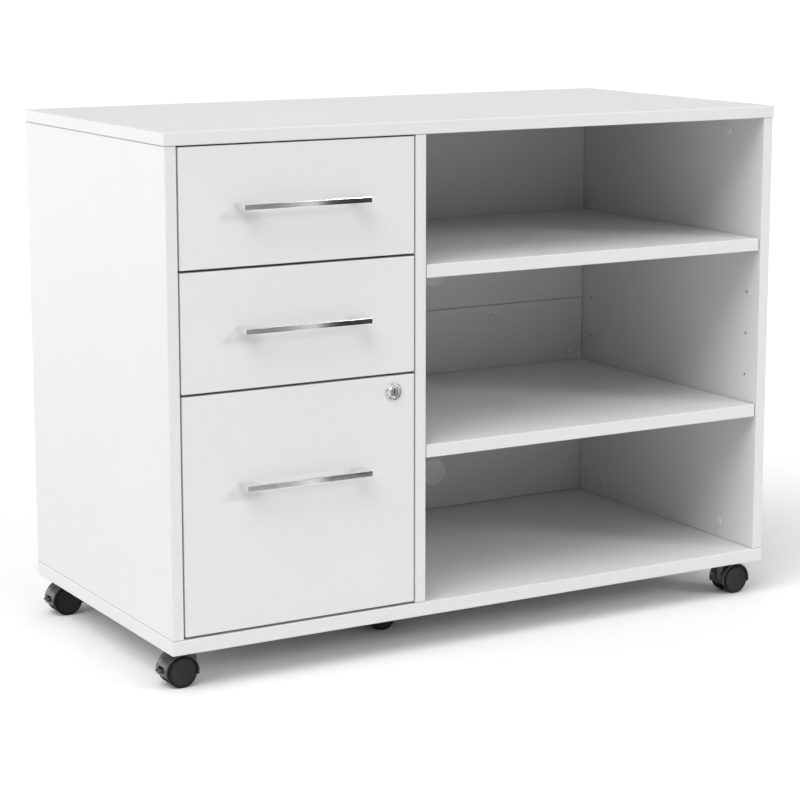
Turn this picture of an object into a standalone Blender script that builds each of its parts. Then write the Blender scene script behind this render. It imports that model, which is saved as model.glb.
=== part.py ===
"""Rolling cabinet: two box drawers over a locking file drawer, beside an open bay with two shelves.

Units are metres and +Z is up. X runs left to right across the front, and Y runs from front to back.
The origin is on the floor, under the centre of the object's bounding box.
"""

import math

import bmesh
import bpy
from mathutils import Matrix, Vector

# ---- carcass -------------------------------------------------------------------------------------
CABINET_WIDTH = 0.906
CABINET_DEPTH = 0.443
BODY_HEIGHT = 0.636  # bottom panel's underside to top panel's upper face
BOARD = 0.015  # sides, divider, back boards and drawer fronts
TOP_THICKNESS = 0.016
BOTTOM_THICKNESS = 0.018
PANEL_OVERHANG = 0.001  # top and bottom panels stand this far past the sides
GAP = 0.0003  # between boards that touch
EDGE_ROUND = 0.0009
ROUND_STEPS = 32  # sides of a round piece
SMALL_STEPS = 20
PIN_STEPS = 10
MERGE_DISTANCE = 1e-6
SMOOTH_ANGLE = math.radians(35)
DRAWER_BAY_WIDTH = 0.3265  # clear width between the left side and the divider

# ---- shelves -------------------------------------------------------------------------------------
SHELF_THICKNESS = 0.017
SHELF_SETBACK = 0.0018  # behind the carcass front
SHELF_END_GAP = 0.0019
SHELF_BACK_GAP = 0.002
PIN_RADIUS = 0.0025
PIN_DEPTH = 0.009
PIN_ROW_FIRST = 0.1862  # lowest pin hole above the bay floor
PIN_PITCH = 0.0579
PIN_ROW_COUNT = 5
PIN_FRONT_INSET = 0.0285  # front column, behind the side's front edge
PIN_BACK_INSET = 0.0235  # back column, ahead of the back boards

# ---- back boards and cable grommets ----------------------------------------------------------------
BACK_SEAM = 0.0006
GROMMET_HOLE_RADIUS = 0.0190
GROMMET_FLANGE_RADIUS = 0.0205
GROMMET_FLANGE = 0.0016
GROMMET_CHAMFER = (0.0010, 0.0007)  # off the flange's edge, across and along the axis
GROMMET_WALL = 0.0018
GROMMET_HEIGHT = 0.0564  # above its board's lower edge

# ---- drawers -------------------------------------------------------------------------------------
FRONT_SIDE_GAP = 0.0023
FRONT_BOTTOM_GAP = 0.0032
FRONT_BETWEEN_GAP = 0.0032
FRONT_TOP_GAP = 0.0020
BOX_FRONT_HEIGHT = 0.1466
FRONT_THICKNESS = 0.015
DRAWER_BOARD = 0.012
DRAWER_BOTTOM = 0.005
DRAWER_LENGTH = 0.400
DRAWER_SIDE_LIFT = 0.014  # side boards start this far above the front's lower edge
BOX_SIDE_DROP = 0.0326  # box drawers' side boards end this far below the front's upper edge
GROOVE_DEPTH = 0.005
GROOVE_LIFT = 0.009  # groove above the side board's lower edge

# ---- drawer slides -------------------------------------------------------------------------------
SLIDE_WIDTH = 0.0127  # space between a drawer's side and the cabinet
SLIDE_LENGTH = 0.400
SLIDE_START = 0.002  # behind the drawer front
SLIDE_HEIGHT = 0.035
SLIDE_SHEET = 0.0012
SLIDE_FLANGE = 0.0090
SLIDE_RUNNING_GAP = 0.0024  # above and below the drawer member, where the balls run

# ---- handles -------------------------------------------------------------------------------------
HANDLE_LENGTH = 0.174
HANDLE_HEIGHT = 0.007
HANDLE_PROJECTION = 0.025
HANDLE_BAR = 0.006
HANDLE_POST = 0.020
HANDLE_ROUND = 0.0004
BOX_HANDLE_RISE = 0.0738  # handle's centre above a box front's lower edge
FILE_HANDLE_DROP = 0.1159  # handle's centre below the file front's upper edge

# ---- lock ----------------------------------------------------------------------------------------
LOCK_FROM_RIGHT = 0.0300
LOCK_FROM_TOP = 0.0204
LOCK_FLANGE_RADIUS = 0.0115
LOCK_FLANGE = 0.0022
LOCK_BARREL_RADIUS = 0.0085
LOCK_BARREL_TAIL = 0.0045  # barrel behind the drawer front
LOCK_PLUG_RADIUS = 0.0055
LOCK_CAM_THICKNESS = 0.0025
LOCK_CAM_WIDTH = 0.010
LOCK_HUB_RADIUS = 0.007  # round end of the cam, on the plug
LOCK_CHAMFER = (0.0012, 0.0010)  # off the flange's edge, across and along the axis
LOCK_BITE = 0.0055  # how far the cam reaches into the divider
LOCK_CAM_CLEARANCE = 0.0028  # between the cam's sweep and the file drawer's side boards
KEYWAY = (0.0018, 0.0070, 0.0030)  # width, height and depth
MORTISE_CLEARANCE = 0.0030  # past the cam's tip
SLOT_PLAY = 0.002  # before, behind and above the cam
SLOT_ROOM_BELOW = 0.0075  # below the lowest point where the cam enters the divider

# ---- casters -------------------------------------------------------------------------------------
WHEEL_RADIUS = 0.020
HOOD_CLEARANCE = 0.0008  # between wheel and hood
HOOD_WALL = 0.0022
SWIVEL_HEAD = 0.005  # collar and plate above the hood
WHEEL_WIDTH = 0.0106
WHEELS_ACROSS = 0.0320
DISC_INSET = 0.0006  # wheel's disc, in from the crest of its rim
RIM_WIDTH = 0.0034  # from the tread to the disc
RIM_CREST = 0.0026  # from the tread to the crest
RIM_ROUND = 0.0010
TREAD_ROUND = 0.0016
INNER_CHAMFER = 0.0012
WHEEL_STEPS = 24
AXLE_RADIUS = 0.003
CASTER_TRAIL = 0.0155
HOOD_WIDTH = 0.0314
HOOD_STEPS = 40
HOOD_SKIRT = 0.005  # how far the hood's lower lip hangs below the axle
WEB_THICKNESS = 0.0098
WEB_FOOT_RADIUS = 0.008
WEB_STEP = 0.0016  # the foot is moulded this much wider than the web, for the pockets to trim
SWIVEL_BLOCK_RADIUS = 0.0090
SWIVEL_BLOCK_DROP = 0.003  # swivel block's lower end below the axle
SWIVEL_BLOCK_RISE = 0.0003  # its upper end above the hood
STEM_RADIUS = 0.004
STEM_RISE = 0.002  # stem's lower end above the axle
STEM_END_CLEARANCE = 0.001  # below the stem, in its socket
RUNNING_CLEARANCE = 0.0004
PLATE_SIZE = 0.036
PLATE_THICKNESS = 0.0025
COLLAR_RADIUS = 0.008
COLLAR_SINK = 0.001  # how far the collar's top stays inside the plate
LEVER_WIDTH = 0.0125
LEVER_THICKNESS = 0.0032
LEVER_OUT = 0.0051  # how far the lever's tip stands past the hood
WINDOW_HEAD = 0.0068  # top of the lever's window, above the axle
WINDOW_FOOT = 0.0004  # its lower edge, below the axle
WINDOW_LENGTH = 0.012
WINDOW_OVERLAP = 0.004  # how far the window starts inside the wheel pocket
LEVER_PIVOT_OUT = 0.0018  # pivot outside the wheel pocket
LEVER_PIVOT_RISE = 0.0026  # pivot above the axle
LEVER_GAP = 0.0006
LEVER_EDGE_ROUND = 0.0004
CASTER_SIDE_INSET = 0.037  # left casters' swivel axis from the cabinet's left edge
CASTER_RIGHT_INSET = 0.0464
CASTER_FRONT_INSET = 0.0335
CASTER_BACK_INSET = 0.0425
MIDDLE_CASTER_X = 0.3413  # from the cabinet's left edge
MIDDLE_CASTER_Y = 0.1255  # from the cabinet's front edge

# ---- places that follow from the sizes above -------------------------------------------------------
WHEEL_POCKET_RADIUS = WHEEL_RADIUS + HOOD_CLEARANCE
HOOD_RADIUS = WHEEL_POCKET_RADIUS + HOOD_WALL
CASTER_HEIGHT = WHEEL_RADIUS + HOOD_RADIUS + SWIVEL_HEAD
LEVER_REACH = HOOD_RADIUS + LEVER_OUT
LEVER_OVERHANG = max(0.0, CASTER_TRAIL + LEVER_REACH - CASTER_SIDE_INSET)
LEFT = (LEVER_OVERHANG - CABINET_WIDTH) / 2
RIGHT = LEFT + CABINET_WIDTH
HANDLE_OVERHANG = HANDLE_PROJECTION - PANEL_OVERHANG
FRONT = (HANDLE_OVERHANG - CABINET_DEPTH) / 2
BACK = FRONT + CABINET_DEPTH
CARCASS_FRONT = FRONT + PANEL_OVERHANG
FLOOR_OF_BAY = CASTER_HEIGHT + BOTTOM_THICKNESS
TOP = CASTER_HEIGHT + BODY_HEIGHT
CEILING = TOP - TOP_THICKNESS
LEFT_INNER = LEFT + PANEL_OVERHANG + BOARD
RIGHT_INNER = RIGHT - PANEL_OVERHANG - BOARD
DIVIDER_LEFT = LEFT_INNER + DRAWER_BAY_WIDTH
DIVIDER_RIGHT = DIVIDER_LEFT + BOARD
BACK_INNER = BACK - GAP - BOARD
BAY_HEIGHT = CEILING - FLOOR_OF_BAY
FILE_FRONT_HEIGHT = (
    BAY_HEIGHT - FRONT_BOTTOM_GAP - 2 * FRONT_BETWEEN_GAP - FRONT_TOP_GAP - 2 * BOX_FRONT_HEIGHT
)
FILE_BOTTOM = FLOOR_OF_BAY + FRONT_BOTTOM_GAP
FILE_TOP = FILE_BOTTOM + FILE_FRONT_HEIGHT
MIDDLE_BOTTOM = FILE_TOP + FRONT_BETWEEN_GAP
UPPER_BOTTOM = MIDDLE_BOTTOM + BOX_FRONT_HEIGHT + FRONT_BETWEEN_GAP
FRONT_LEFT = LEFT_INNER + FRONT_SIDE_GAP
FRONT_RIGHT = DIVIDER_LEFT - FRONT_SIDE_GAP
DRAWER_CENTRE = (FRONT_LEFT + FRONT_RIGHT) / 2
FRONT_BACK = CARCASS_FRONT + FRONT_THICKNESS
BOX_LEFT = LEFT_INNER + SLIDE_WIDTH
BOX_RIGHT = DIVIDER_LEFT - SLIDE_WIDTH
BOX_FRONT = FRONT_BACK + GAP
BOX_BACK = BOX_FRONT + DRAWER_LENGTH
LOCK_X = FRONT_RIGHT - LOCK_FROM_RIGHT
LOCK_Z = FILE_TOP - LOCK_FROM_TOP
LOCK_CAM_REACH = LOCK_FROM_RIGHT + FRONT_SIDE_GAP + LOCK_BITE
SLOT_DEPTH = LOCK_BITE + MORTISE_CLEARANCE
FILE_SIDE_HEAD = LOCK_Z - LOCK_CAM_REACH - LOCK_CAM_CLEARANCE
BAY_MIDDLE = (DIVIDER_RIGHT + RIGHT_INNER) / 2

finishes = {}


def start_scene():
    """An empty scene with one collection for the cabinet's pieces and a hidden one for the cutters."""
    for thing in list(bpy.data.objects):
        bpy.data.objects.remove(thing)
    pieces = bpy.data.collections.new("rolling_cabinet")
    cutters = bpy.data.collections.new("cutters")
    cutters.hide_render = True
    for collection in (pieces, cutters):
        bpy.context.scene.collection.children.link(collection)
    return pieces, cutters


def add_finish(name, colour, roughness, metallic=0.0):
    finish = bpy.data.materials.new(name)
    finish.use_nodes = True
    shader = finish.node_tree.nodes["Principled BSDF"]
    shader.inputs["Base Color"].default_value = (*colour, 1.0)
    shader.inputs["Roughness"].default_value = roughness
    shader.inputs["Metallic"].default_value = metallic
    finishes[name] = finish


def add_finishes():
    add_finish("white_laminate", (0.83, 0.83, 0.83), 0.45)
    add_finish("drawer_board", (0.80, 0.80, 0.79), 0.55)
    add_finish("zinc_steel", (0.62, 0.63, 0.65), 0.35, 1.0)
    add_finish("chrome", (0.80, 0.80, 0.81), 0.08, 1.0)
    add_finish("nickel", (0.60, 0.61, 0.62), 0.22, 1.0)
    add_finish("grommet_plastic", (0.74, 0.75, 0.76), 0.5)
    add_finish("caster_plastic", (0.03, 0.03, 0.03), 0.4)
    add_finish("wheel_plastic", (0.045, 0.045, 0.045), 0.5)


# ---- making one piece ------------------------------------------------------------------------------
def add_object(name, mesh, finish=None, parent=None, location=(0, 0, 0)):
    """A piece of the cabinet, or a cutter when it has no finish. The location is its parent's own."""
    thing = bpy.data.objects.new(name, mesh)
    if finish:
        pieces.objects.link(thing)
        if not mesh.materials:
            mesh.materials.append(finishes[finish])
    else:
        cutters.objects.link(thing)
        thing.hide_render = True
        thing.display_type = "WIRE"
    thing.parent = parent
    thing.location = location
    return thing


def add_axis(name, location, turn=0.0):
    """An empty that holds the pieces that move together."""
    axis = bpy.data.objects.new(name, None)
    pieces.objects.link(axis)
    axis.empty_display_size = 0.03
    axis.location = location
    axis.rotation_euler.z = turn
    return axis


def mesh_from(bm, name):
    mesh = bpy.data.meshes.new(name)
    bmesh.ops.recalc_face_normals(bm, faces=bm.faces)
    bm.to_mesh(mesh)
    bm.free()
    return mesh


def box_mesh(name, size, centre=(0, 0, 0)):
    bm = bmesh.new()
    bmesh.ops.create_cube(bm, size=1.0, matrix=Matrix.Translation(centre) @ Matrix.Diagonal((*size, 1)))
    return mesh_from(bm, name)


def rod(bm, centre, radius, length, steps, axis="Z"):
    """A closed cylinder along an axis. The axes pass through its flats, not through its edges."""
    lay = {"X": Matrix.Rotation(math.pi / 2, 4, "Y"), "Y": Matrix.Rotation(math.pi / 2, 4, "X")}
    half_step = Matrix.Rotation(math.pi / steps, 4, "Z")
    place = Matrix.Translation(centre) @ lay.get(axis, Matrix()) @ half_step
    bmesh.ops.create_cone(
        bm, cap_ends=True, segments=steps, radius1=radius, radius2=radius, depth=length, matrix=place
    )


def rod_mesh(name, radius, length, steps, axis="Z", centres=((0, 0, 0),)):
    """One or more separate rods, in one mesh."""
    bm = bmesh.new()
    for centre in centres:
        rod(bm, centre, radius, length, steps, axis)
    return mesh_from(bm, name)


def outline_mesh(name, outline, thickness):
    """A flat closed outline in X and Y, thickened evenly along Z, as a mesh."""
    curve = bpy.data.curves.new(name, "CURVE")
    curve.dimensions = "2D"
    curve.fill_mode = "BOTH"
    curve.extrude = thickness / 2
    spline = curve.splines.new("POLY")
    spline.points.add(len(outline) - 1)
    for point, (x, y) in zip(spline.points, outline):
        point.co = (x, y, 0, 1)
    spline.use_cyclic_u = True
    guide = add_object(name + "_outline", curve)
    mesh = evaluated_mesh(guide, name)
    bpy.data.objects.remove(guide)
    return mesh


def evaluated_mesh(thing, name):
    """The object's shape with its modifiers worked out, as a new closed mesh."""
    bpy.context.view_layer.update()
    shape = thing.evaluated_get(bpy.context.evaluated_depsgraph_get())
    raw = bpy.data.meshes.new_from_object(shape)
    bm = bmesh.new()
    bm.from_mesh(raw)
    bpy.data.meshes.remove(raw)
    bmesh.ops.remove_doubles(bm, verts=bm.verts, dist=MERGE_DISTANCE)
    return mesh_from(bm, name)


def turned(name, profile, steps, finish=None, parent=None, location=(0, 0, 0), ring=False):
    """A turned piece about Z from (radius, height) points, top to bottom down the outside."""
    mesh = bpy.data.meshes.new(name)
    count = len(profile)
    edges = [(i, i + 1) for i in range(count - 1)]
    if ring:
        edges.append((count - 1, 0))
    mesh.from_pydata([(radius, 0, height) for radius, height in profile], edges, [])
    thing = add_object(name, mesh, finish, parent, location)
    screw = thing.modifiers.new("Turn", "SCREW")
    screw.axis = "Z"
    screw.steps = steps
    screw.render_steps = steps
    screw.use_merge_vertices = True
    screw.merge_threshold = MERGE_DISTANCE
    return thing


def rounded(thing, width, segments):
    bevel = thing.modifiers.new("Edges", "BEVEL")
    bevel.width = width
    bevel.segments = segments
    bevel.limit_method = "ANGLE"
    return thing


def cut(thing, cutter, operation="DIFFERENCE"):
    boolean = thing.modifiers.new(cutter.name, "BOOLEAN")
    boolean.operation = operation
    boolean.object = cutter
    return thing


def smooth(thing):
    thing.data.shade_smooth()
    thing.data.set_sharp_from_angle(angle=SMOOTH_ANGLE)
    return thing


def board(name, low, high, finish="white_laminate", parent=None, segments=1):
    """A board between two corners, with its sharp edges taken off."""
    size = Vector(high) - Vector(low)
    centre = (Vector(high) + Vector(low)) / 2
    if parent:
        centre = centre - parent.location
    thing = add_object(name, box_mesh(name, size), finish, parent, centre)
    if segments:
        rounded(thing, EDGE_ROUND, segments)
    return thing


# ---- carcass -------------------------------------------------------------------------------------
def side_span(side_left):
    """Low and high corners of an upright board whose left face is given."""
    low = (side_left, CARCASS_FRONT, FLOOR_OF_BAY + GAP)
    high = (side_left + BOARD, BACK - GAP, CEILING - GAP)
    return low, high


def pin_hole_cutter(name, face_x):
    """Two columns of blind shelf-pin holes that open on a face across X."""
    columns = (CARCASS_FRONT + PIN_FRONT_INSET, BACK_INNER - PIN_BACK_INSET)
    rows = [FLOOR_OF_BAY + PIN_ROW_FIRST + row * PIN_PITCH for row in range(PIN_ROW_COUNT)]
    centres = [(face_x, column, row) for column in columns for row in rows]
    return add_object(name, rod_mesh(name, PIN_RADIUS, 2 * PIN_DEPTH, PIN_STEPS, "X", centres))


def build_carcass():
    board("top_panel", (LEFT, FRONT, CEILING), (RIGHT, BACK, TOP), segments=2)
    board("bottom_panel", (LEFT, FRONT, CASTER_HEIGHT), (RIGHT, BACK, FLOOR_OF_BAY), segments=2)
    board("left_side_panel", *side_span(LEFT + PANEL_OVERHANG), segments=2)
    right_side = board("right_side_panel", *side_span(RIGHT_INNER), segments=2)
    cut(right_side, pin_hole_cutter("right_pin_holes", RIGHT_INNER))
    build_divider()
    build_back()
    for name, row in (("lower_shelf", 0), ("upper_shelf", PIN_ROW_COUNT - 1)):
        build_shelf(name, FLOOR_OF_BAY + PIN_ROW_FIRST + row * PIN_PITCH + PIN_RADIUS + GAP)


def build_divider():
    """The upright between the bays, with pin holes on one face and the lock's slot in the other."""
    low, high = side_span(DIVIDER_LEFT)
    divider = board("divider_panel", low, (high[0], BACK_INNER - GAP, high[2]), segments=2)
    cut(divider, pin_hole_cutter("divider_pin_holes", DIVIDER_RIGHT))
    cam_middle = FRONT_BACK + LOCK_BARREL_TAIL + GAP + LOCK_CAM_THICKNESS / 2
    cam_corner = math.hypot(LOCK_CAM_REACH, LOCK_CAM_WIDTH / 2)
    entry_drop = math.sqrt(cam_corner**2 - (DIVIDER_LEFT - LOCK_X) ** 2)
    slot_top = LOCK_Z + LOCK_CAM_WIDTH / 2 + SLOT_PLAY
    slot_foot = LOCK_Z - entry_drop - SLOT_ROOM_BELOW
    size = (2 * SLOT_DEPTH, LOCK_CAM_THICKNESS + 2 * SLOT_PLAY, slot_top - slot_foot)
    centre = (DIVIDER_LEFT, cam_middle, (slot_top + slot_foot) / 2)
    cut(divider, add_object("lock_slot", box_mesh("lock_slot", size, centre)))


def build_back():
    """Two boards, one above the other, that fill the back between the sides."""
    middle = (FLOOR_OF_BAY + CEILING) / 2
    spans = {
        "lower_back_board": (FLOOR_OF_BAY + GAP, middle - BACK_SEAM / 2),
        "upper_back_board": (middle + BACK_SEAM / 2, CEILING - GAP),
    }
    for name, (foot, head) in spans.items():
        low = (LEFT_INNER + GAP, BACK_INNER, foot)
        thing = board(name, low, (RIGHT_INNER - GAP, BACK - GAP, head))
        centre = (BAY_MIDDLE, BACK_INNER + BOARD / 2, foot + GROMMET_HEIGHT)
        hole = rod_mesh(name + "_hole", GROMMET_HOLE_RADIUS, 2 * BOARD, ROUND_STEPS, "Y", (centre,))
        cut(thing, add_object(name + "_hole", hole))
        build_grommet(name.replace("back_board", "cable_grommet"), (BAY_MIDDLE, BACK_INNER, centre[2]))


def build_grommet(name, location):
    """A capped ring pressed into the back board, with its flange towards the bay."""
    barrel = GROMMET_HOLE_RADIUS - GAP
    profile = [
        (0, GROMMET_FLANGE),
        (GROMMET_FLANGE_RADIUS - GROMMET_CHAMFER[0], GROMMET_FLANGE),
        (GROMMET_FLANGE_RADIUS, GROMMET_FLANGE - GROMMET_CHAMFER[1]),
        (GROMMET_FLANGE_RADIUS, GAP),
        (barrel, GAP),
        (barrel, -BOARD),
        (barrel - GROMMET_WALL, -BOARD),
        (barrel - GROMMET_WALL, -GROMMET_WALL),
        (0, -GROMMET_WALL),
    ]
    grommet = turned(name, profile, ROUND_STEPS, "grommet_plastic", None, location)
    grommet.rotation_euler.x = math.pi / 2


def build_shelf(name, foot):
    low = (DIVIDER_RIGHT + SHELF_END_GAP, CARCASS_FRONT + SHELF_SETBACK, foot)
    high = (RIGHT_INNER - SHELF_END_GAP, BACK_INNER - SHELF_BACK_GAP, foot + SHELF_THICKNESS)
    board(name, low, high, segments=2)


# ---- drawers -------------------------------------------------------------------------------------
def channel(name, depth, height, parent, outer_x, centre_z, opens):
    """A C-section slide member: its web stands at outer_x and its flanges point along opens (+1 or -1)."""
    half = height / 2 - SLIDE_SHEET
    web = outer_x + opens * SLIDE_SHEET
    tip = outer_x + opens * depth
    start = FRONT_BACK + SLIDE_START
    origin = Vector(parent.location) if parent else Vector((0, 0, 0))
    bm = bmesh.new()
    section = [(tip, half), (web, half), (web, -half), (tip, -half)]
    corners = [bm.verts.new(Vector((x, start, centre_z + z)) - origin) for x, z in section]
    edges = [bm.edges.new(pair) for pair in zip(corners, corners[1:])]
    drawn = bmesh.ops.extrude_edge_only(bm, edges=edges)["geom"]
    moved = [part for part in drawn if isinstance(part, bmesh.types.BMVert)]
    bmesh.ops.translate(bm, verts=moved, vec=(0, SLIDE_LENGTH, 0))
    mesh = bpy.data.meshes.new(name)
    bm.to_mesh(mesh)
    bm.free()
    thing = add_object(name, mesh, "zinc_steel", parent)
    solidify = thing.modifiers.new("Sheet", "SOLIDIFY")
    solidify.thickness = SLIDE_SHEET
    solidify.offset = opens
    solidify.use_even_offset = True
    return thing


def build_slides(name, drawer, centre_z):
    """A cabinet member on each wall of the bay, and the member that runs inside it on the drawer."""
    inner_height = SLIDE_HEIGHT - 2 * SLIDE_SHEET - 2 * SLIDE_RUNNING_GAP
    for side, wall, opens in (("left", LEFT_INNER, 1), ("right", DIVIDER_LEFT, -1)):
        fixed_x = wall + opens * GAP
        moving_x = wall + opens * (SLIDE_WIDTH - GAP)
        channel(f"{name}_slide_{side}_outer", SLIDE_FLANGE, SLIDE_HEIGHT, None, fixed_x, centre_z, opens)
        channel(f"{name}_slide_{side}_inner", SLIDE_FLANGE, inner_height, drawer, moving_x, centre_z, -opens)


def build_box(name, drawer, foot, head):
    """Two sides and a back round a bottom that sits in grooves in the sides."""
    groove = foot + GROOVE_LIFT
    for side, left in (("left", BOX_LEFT), ("right", BOX_RIGHT - DRAWER_BOARD)):
        low = (left, BOX_FRONT, foot)
        high = (left + DRAWER_BOARD, BOX_BACK, head)
        wall = board(f"{name}_{side}_side", low, high, "drawer_board", drawer, segments=0)
        inner = left + (DRAWER_BOARD if side == "left" else 0)
        size = (2 * GROOVE_DEPTH, 2 * DRAWER_LENGTH, DRAWER_BOTTOM + 2 * GAP)
        place = Vector((inner, BOX_FRONT, groove + DRAWER_BOTTOM / 2)) - drawer.location
        slot = box_mesh(f"{name}_{side}_groove", size)
        cut(wall, add_object(f"{name}_{side}_groove", slot, None, drawer, place))
    inner_left = BOX_LEFT + DRAWER_BOARD
    inner_right = BOX_RIGHT - DRAWER_BOARD
    low = (inner_left + GAP, BOX_BACK - DRAWER_BOARD, groove + DRAWER_BOTTOM + GAP)
    high = (inner_right - GAP, BOX_BACK, head)
    board(f"{name}_back", low, high, "drawer_board", drawer, segments=0)
    low = (inner_left - GROOVE_DEPTH + GAP, BOX_FRONT, groove)
    high = (inner_right + GROOVE_DEPTH - GAP, BOX_BACK, groove + DRAWER_BOTTOM)
    board(f"{name}_bottom", low, high, "drawer_board", drawer, segments=0)


def build_handle(name, drawer, centre_z):
    """A square bar bent back at both ends onto the drawer front."""
    half = HANDLE_LENGTH / 2
    post = half - HANDLE_POST
    wall = -GAP
    tip = -HANDLE_PROJECTION
    bar = tip + HANDLE_BAR
    right_half = [(half, tip), (half, wall), (post, wall), (post, bar)]
    outline = right_half + [(-x, y) for x, y in reversed(right_half)]
    mesh = outline_mesh(name, outline, HANDLE_HEIGHT)
    place = Vector((DRAWER_CENTRE, CARCASS_FRONT, centre_z)) - drawer.location
    rounded(add_object(name, mesh, "chrome", drawer, place), HANDLE_ROUND, 1)


def build_drawer(name, foot, height, side_head, handle_z):
    drawer = add_axis(name + "_drawer_slide", (DRAWER_CENTRE, CARCASS_FRONT, foot))
    low = (FRONT_LEFT, CARCASS_FRONT, foot)
    high = (FRONT_RIGHT, FRONT_BACK, foot + height)
    front = board(f"{name}_drawer_front", low, high, parent=drawer, segments=2)
    side_foot = foot + DRAWER_SIDE_LIFT
    build_box(f"{name}_drawer", drawer, side_foot, side_head)
    build_slides(name, drawer, (side_foot + side_head) / 2)
    build_handle(f"{name}_handle", drawer, handle_z)
    return drawer, front


def build_lock(drawer, front):
    """A cam lock through the file drawer's front. Its plug turns about Y inside the barrel."""
    place = Vector((LOCK_X, CARCASS_FRONT, LOCK_Z)) - drawer.location
    size = LOCK_BARREL_RADIUS + GAP
    hole = rod_mesh("lock_hole", size, 4 * FRONT_THICKNESS, ROUND_STEPS, "Y")
    cut(front, add_object("lock_hole", hole, None, drawer, place))
    bore = LOCK_PLUG_RADIUS + GAP
    tail = -FRONT_THICKNESS - LOCK_BARREL_TAIL
    profile = [
        (bore, LOCK_FLANGE),
        (LOCK_FLANGE_RADIUS - LOCK_CHAMFER[0], LOCK_FLANGE),
        (LOCK_FLANGE_RADIUS, LOCK_FLANGE - LOCK_CHAMFER[1]),
        (LOCK_FLANGE_RADIUS, GAP),
        (LOCK_BARREL_RADIUS, GAP),
        (LOCK_BARREL_RADIUS, tail),
        (bore, tail),
    ]
    barrel = turned("lock_barrel", profile, ROUND_STEPS, "nickel", drawer, place, ring=True)
    barrel.rotation_euler.x = math.pi / 2
    smooth(build_plug(drawer, place))


def build_plug(drawer, place):
    """The plug with its keyway in front and its cam behind, the cam hanging down at rest."""
    front_y = -LOCK_FLANGE
    cam_front = FRONT_THICKNESS + LOCK_BARREL_TAIL + GAP
    cam_back = cam_front + LOCK_CAM_THICKNESS
    length = cam_back - front_y
    rod = rod_mesh("lock_plug", LOCK_PLUG_RADIUS, length, ROUND_STEPS, "Y", ((0, front_y + length / 2, 0),))
    plug = add_object("lock_plug", rod, "nickel", drawer, place)
    size = (LOCK_CAM_WIDTH, LOCK_CAM_THICKNESS, LOCK_CAM_REACH)
    centre = (0, cam_front + LOCK_CAM_THICKNESS / 2, -LOCK_CAM_REACH / 2)
    cam = add_object("lock_cam_shape", box_mesh("lock_cam_shape", size, centre), None, drawer, place)
    hub_centre = (0, centre[1], 0)
    hub = rod_mesh("lock_cam_hub", LOCK_HUB_RADIUS, LOCK_CAM_THICKNESS, ROUND_STEPS, "Y", (hub_centre,))
    cut(cam, add_object("lock_cam_hub", hub, None, drawer, place), "UNION")
    cut(plug, cam, "UNION")
    width, height, depth = KEYWAY
    key = box_mesh("keyway", (width, 2 * depth, height), (0, front_y, 0))
    cut(plug, add_object("keyway", key, None, drawer, place))
    return plug


# ---- casters -------------------------------------------------------------------------------------
def housing_mesh(name, braked):
    """Round hood, web and swivel block in one moulding. The swivel axis is Z and the wheels trail to +X."""
    axle = Vector((CASTER_TRAIL, 0, WHEEL_RADIUS))
    lip = axle - Vector((0, 0, HOOD_SKIRT))
    bm = bmesh.new()
    rod(bm, axle, HOOD_RADIUS, HOOD_WIDTH, HOOD_STEPS, "Y")
    everything = bm.verts[:] + bm.edges[:] + bm.faces[:]
    bmesh.ops.bisect_plane(bm, geom=everything, plane_co=lip, plane_no=(0, 0, 1), clear_inner=True)
    rim = [edge for edge in bm.edges if edge.is_boundary]
    bmesh.ops.holes_fill(bm, edges=rim)
    hood = add_object(name + "_pattern", mesh_from(bm, name + "_pattern"))
    block_height = HOOD_RADIUS + SWIVEL_BLOCK_RISE + SWIVEL_BLOCK_DROP
    block_centre = (0, 0, WHEEL_RADIUS - SWIVEL_BLOCK_DROP + block_height / 2)
    block = rod_mesh("swivel_block", SWIVEL_BLOCK_RADIUS, block_height, WHEEL_STEPS, "Z", (block_centre,))
    foot = rod_mesh("web_foot", WEB_FOOT_RADIUS, WEB_THICKNESS + WEB_STEP, WHEEL_STEPS, "Y", (axle,))
    pocket_width = HOOD_WIDTH
    pocket_y = (WEB_THICKNESS + pocket_width) / 2
    pockets = [axle + Vector((0, side * pocket_y, 0)) for side in (-1, 1)]
    pocket = rod_mesh("wheel_pockets", WHEEL_POCKET_RADIUS, pocket_width, HOOD_STEPS, "Y", pockets)
    axle_hole = rod_mesh("axle_hole", AXLE_RADIUS + RUNNING_CLEARANCE, HOOD_WIDTH, SMALL_STEPS, "Y", (axle,))
    socket_foot = WHEEL_RADIUS + STEM_RISE - STEM_END_CLEARANCE
    socket_height = CASTER_HEIGHT - socket_foot
    socket_centre = (0, 0, socket_foot + socket_height / 2)
    socket_radius = STEM_RADIUS + RUNNING_CLEARANCE
    socket = rod_mesh("stem_socket", socket_radius, socket_height, SMALL_STEPS, "Z", (socket_centre,))
    steps = [(block, "UNION"), (foot, "UNION"), (pocket, "DIFFERENCE")]
    steps += [(axle_hole, "DIFFERENCE"), (socket, "DIFFERENCE")]
    if braked:
        steps.append((lever_window_mesh(), "DIFFERENCE"))
    helpers = [add_object(f"{name}_{mesh.name}", mesh) for mesh, _ in steps]
    for helper, (_, operation) in zip(helpers, steps):
        cut(hood, helper, operation)
    mesh = evaluated_mesh(hood, name)
    for helper in [hood, *helpers]:
        bpy.data.objects.remove(helper)
    return mesh


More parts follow.
